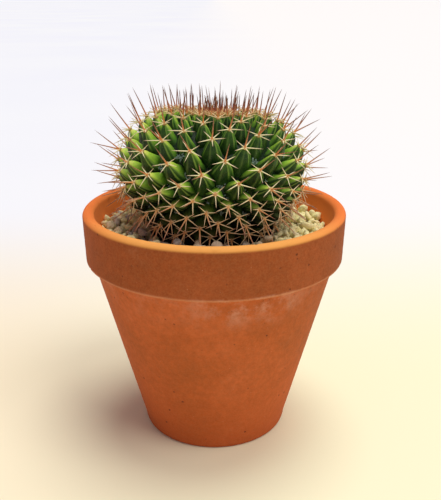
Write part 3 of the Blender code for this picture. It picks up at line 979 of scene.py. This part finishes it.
STONE_COUNT = 900
SHOWN_STONES = 600
STONE_RADII = (1.0 * MM, 2.35 * MM)
STONE_CUTS = 9
CUT_DEPTHS = (0.42, 0.80)
STONE_ROUGHNESS = 0.34
STONE_SWELL = 1.20
SCATTER_RADII = (33.0 * MM, 49.0 * MM)
SCATTER_HEIGHTS = (92.0 * MM, 110.0 * MM)
SETTLING_STEPS = 420
SETTLING_DROP = 0.06 * MM
STONES_TOUCH = 0.94
STONE_PUSH = 0.30
WALL_TOUCH = 0.97
STEM_TOUCH = 0.7
BED_TOUCH = 0.4
GROOVE_ROOM = 2.0 * MM
BED_LEVEL = 91.0 * MM
BED_SLOPES = (-0.016, 0.006)
FRONT_HEAP = 2.2 * MM
BED_ROWS = 14
BED_COLUMNS = 160
BED_INNER_RADIUS = 27.0 * MM
BED_LUMP_SIZE = 2.4 * MM
BED_LUMP_HEIGHT = 0.9 * MM


def bed_height(x, y):
    """Level that the deeper grit reaches: higher to the left and heaped against the stem in front."""
    reach = np.hypot(x, y)
    near_stem = np.clip((50.0 * MM - reach) / (12.0 * MM), 0.0, 1.0)
    heap = FRONT_HEAP * np.clip(-y / reach, 0.0, 1.0) ** 2 * near_stem
    return BED_LEVEL + BED_SLOPES[0] * x + BED_SLOPES[1] * y + heap


def scattered_stones():
    """Radii and first places of the top stones, in the ring between the stem and the clay."""
    radii = STONE_RADII[0] + (STONE_RADII[1] - STONE_RADII[0]) * dice.random(STONE_COUNT) ** 1.6
    turn = dice.uniform(0.0, 2.0 * math.pi, STONE_COUNT)
    ring = np.sqrt(dice.uniform(SCATTER_RADII[0] ** 2, SCATTER_RADII[1] ** 2, STONE_COUNT))
    height = dice.uniform(*SCATTER_HEIGHTS, STONE_COUNT)
    return radii, np.stack([ring * np.cos(turn), ring * np.sin(turn), height], axis=1)


def packed_stones():
    """Centres and radii of the top stones, settled between the stem, the clay and the bed."""
    radii, centres = scattered_stones()
    reach_sum = (radii[:, None] + radii[None, :]) * STONES_TOUCH
    np.fill_diagonal(reach_sum, 0.0)
    stem_height = SKIN.height[::-1] + STEM_CENTRE.z
    stem_radius = SKIN.radius[::-1]
    middle = np.array(STEM_CENTRE)[:2]
    for _ in range(SETTLING_STEPS):
        centres[:, 2] -= SETTLING_DROP
        apart = centres[:, None, :] - centres[None, :, :]
        distance = np.sqrt((apart**2).sum(axis=2)) + 1e-9
        overlap = np.clip(reach_sum / distance - 1.0, 0.0, None)
        np.fill_diagonal(overlap, 0.0)
        centres += STONE_PUSH * (apart * overlap[..., None]).sum(axis=1)
        flat = np.hypot(centres[:, 0], centres[:, 1])
        pull = np.minimum(1.0, (inner_radius(centres[:, 2]) - radii * WALL_TOUCH) / flat)
        centres[:, :2] *= pull[:, None]
        from_stem = centres[:, :2] - middle
        gap = np.hypot(from_stem[:, 0], from_stem[:, 1])
        keep = np.interp(centres[:, 2], stem_height, stem_radius) - GROOVE_ROOM + radii * STEM_TOUCH
        centres[:, :2] = middle + from_stem * np.maximum(1.0, keep / gap)[:, None]
        lowest = bed_height(centres[:, 0], centres[:, 1]) + radii * BED_TOUCH
        centres[:, 2] = np.maximum(centres[:, 2], lowest)
    return centres, radii


def broken_stone(directions, radius):
    """A ball cut by a few planes and roughened."""
    points = directions * dice.uniform(0.84, 1.18, 3)
    for _ in range(STONE_CUTS):
        way = unit(dice.normal(size=3))
        over = np.clip(points @ way - dice.uniform(*CUT_DEPTHS), 0.0, None)
        points = points - over[:, None] * way
    seed = Vector(dice.uniform(0.0, 50.0, 3).tolist())
    rough = np.array([noise.noise(Vector(p) * 2.6 + seed) for p in points.tolist()])
    return points * (1.0 + STONE_ROUGHNESS * rough)[:, None] * radius * STONE_SWELL


def stone_tone_with_painted_light(centre):
    """A random place in the pumice's colours, with painted shade making stones greyer in front and painted
    light making them creamier to the right.
    """
    reach = math.hypot(centre[0], centre[1])
    front, right = max(0.0, -centre[1] / reach), max(0.0, centre[0] / reach)
    return 0.80 * dice.random() * (1.0 - 0.6 * front**2) * (1.0 - 0.45 * right) + 0.66 * front**2


def grit_bed():
    """Points of the lumpy bed under the stones."""
    points = []
    width = inner_radius(BED_LEVEL) - BED_INNER_RADIUS - 0.2 * MM
    for share in np.linspace(0.0, 1.0, BED_ROWS):
        for turn in full_circle(BED_COLUMNS):
            reach = BED_INNER_RADIUS + share * width
            x, y = reach * math.cos(turn), reach * math.sin(turn)
            lump = noise.noise(Vector((x, y, 0.0)) / BED_LUMP_SIZE) * BED_LUMP_HEIGHT
            points.append((x, y, bed_height(x, y) - 0.6 * MM + lump))
    return np.array(points)


def build_grit():
    """The broken pumice stones that lie highest, over a lumpy bed of the same, coloured darkest as painted
    shade between the stones.
    """
    centres, radii = packed_stones()
    clear = centres[:, 2] + radii - bed_height(centres[:, 0], centres[:, 1])
    directions, faces = ball(2)
    heap = Heap()
    for index in np.argsort(-clear)[:SHOWN_STONES]:
        tone = stone_tone_with_painted_light(centres[index])
        heap.add(broken_stone(directions, radii[index]) + centres[index], faces, tone=tone)
    # The bed takes the darkest tone: painted shade in the gaps between the stones.
    heap.add(grit_bed(), grid_faces(BED_ROWS, BED_COLUMNS), tone=1.0)
    grit = heap.piece("pumice_grit", pumice(), "grit")
    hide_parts("grit_bed", *STONE_NODES)


# ---- the studio ----

FLOOR_REACH = 60.0
OVERHEAD_WAY = Vector((0.12, 0.15, 1.0))
SIDE_WAY = Vector((0.48, -0.38, 1.0))
LAMP_COLOUR = (0.99, 1.0, 0.93)
AIR_COLOUR = (1.0, 0.86, 0.96, 1.0)
AIR_STRENGTH = 0.29
BACKDROP_COLOUR = (0.93, 0.92, 0.90, 1.0)
CAMERA_PLACE = Vector((0.0, -300.0 * MM, 190.0 * MM))
CAMERA_PITCH = 0.345
CAMERA_YAW = 0.009
CAMERA_LENS = 51.0


def build_studio():
    """A wide pale floor that runs on to the horizon."""
    reach = np.concatenate([[0.0], np.geomspace(0.05, FLOOR_REACH, 24)])
    turns = full_circle(64)
    points = [(r * math.cos(t), r * math.sin(t), 0.0) for r in reach for t in turns]
    mesh = bpy.data.meshes.new("studio_floor")
    mesh.from_pydata(points, [], grid_faces(len(reach), len(turns)))
    mesh.shade_smooth()
    mesh.materials.append(studio_floor())
    floor = bpy.data.objects.new("studio_floor", mesh)
    bpy.context.scene.collection.objects.link(floor)


def sun(name, way, angle, strength):
    light = bpy.data.lights.new(name, "SUN")
    light.energy = strength
    light.angle = math.radians(angle)
    light.color = LAMP_COLOUR
    lamp = bpy.data.objects.new(name, light)
    lamp.rotation_mode = "QUATERNION"
    lamp.rotation_quaternion = (-way).to_track_quat("-Z", "Y")
    bpy.context.scene.collection.objects.link(lamp)


def build_lights():
    """Two wide soft lights from above, pale air all round and a paler backdrop behind."""
    sun("overhead", OVERHEAD_WAY, 32.0, 1.62)
    sun("side", SIDE_WAY, 30.0, 1.05)
    world = bpy.data.worlds.new("studio_air")
    world.use_nodes = True
    tree = world.node_tree
    air = tree.nodes["Background"]
    air.inputs["Color"].default_value = AIR_COLOUR
    air.inputs["Strength"].default_value = AIR_STRENGTH
    backdrop = tree.nodes.new("ShaderNodeBackground")
    backdrop.inputs["Color"].default_value = BACKDROP_COLOUR
    seen = tree.nodes.new("ShaderNodeMixShader")
    tree.links.new(tree.nodes.new("ShaderNodeLightPath").outputs["Is Camera Ray"], seen.inputs[0])
    tree.links.new(air.outputs[0], seen.inputs[1])
    tree.links.new(backdrop.outputs[0], seen.inputs[2])
    tree.links.new(seen.outputs[0], tree.nodes["World Output"].inputs["Surface"])
    bpy.context.scene.world = world


def build_camera():
    camera = bpy.data.cameras.new("camera")
    camera.lens = CAMERA_LENS
    camera.sensor_width = 36.0
    camera.clip_start = 0.01
    holder = bpy.data.objects.new("camera", camera)
    level = math.cos(CAMERA_PITCH)
    ahead = Vector((math.sin(CAMERA_YAW) * level, math.cos(CAMERA_YAW) * level, -math.sin(CAMERA_PITCH)))
    holder.location = CAMERA_PLACE
    holder.rotation_mode = "QUATERNION"
    holder.rotation_quaternion = ahead.to_track_quat("-Z", "Y")
    bpy.context.scene.collection.objects.link(holder)
    bpy.context.scene.camera = holder
    bpy.context.scene.view_settings.view_transform = "Standard"


build_camera()
build_lights()
build_studio()
build_pot()
build_stem()
build_spines()
build_areole_pads()
build_axil_wool()
build_grit()
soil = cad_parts["potting_soil"]
soil.data.materials.clear()
soil.data.materials.append(earth())
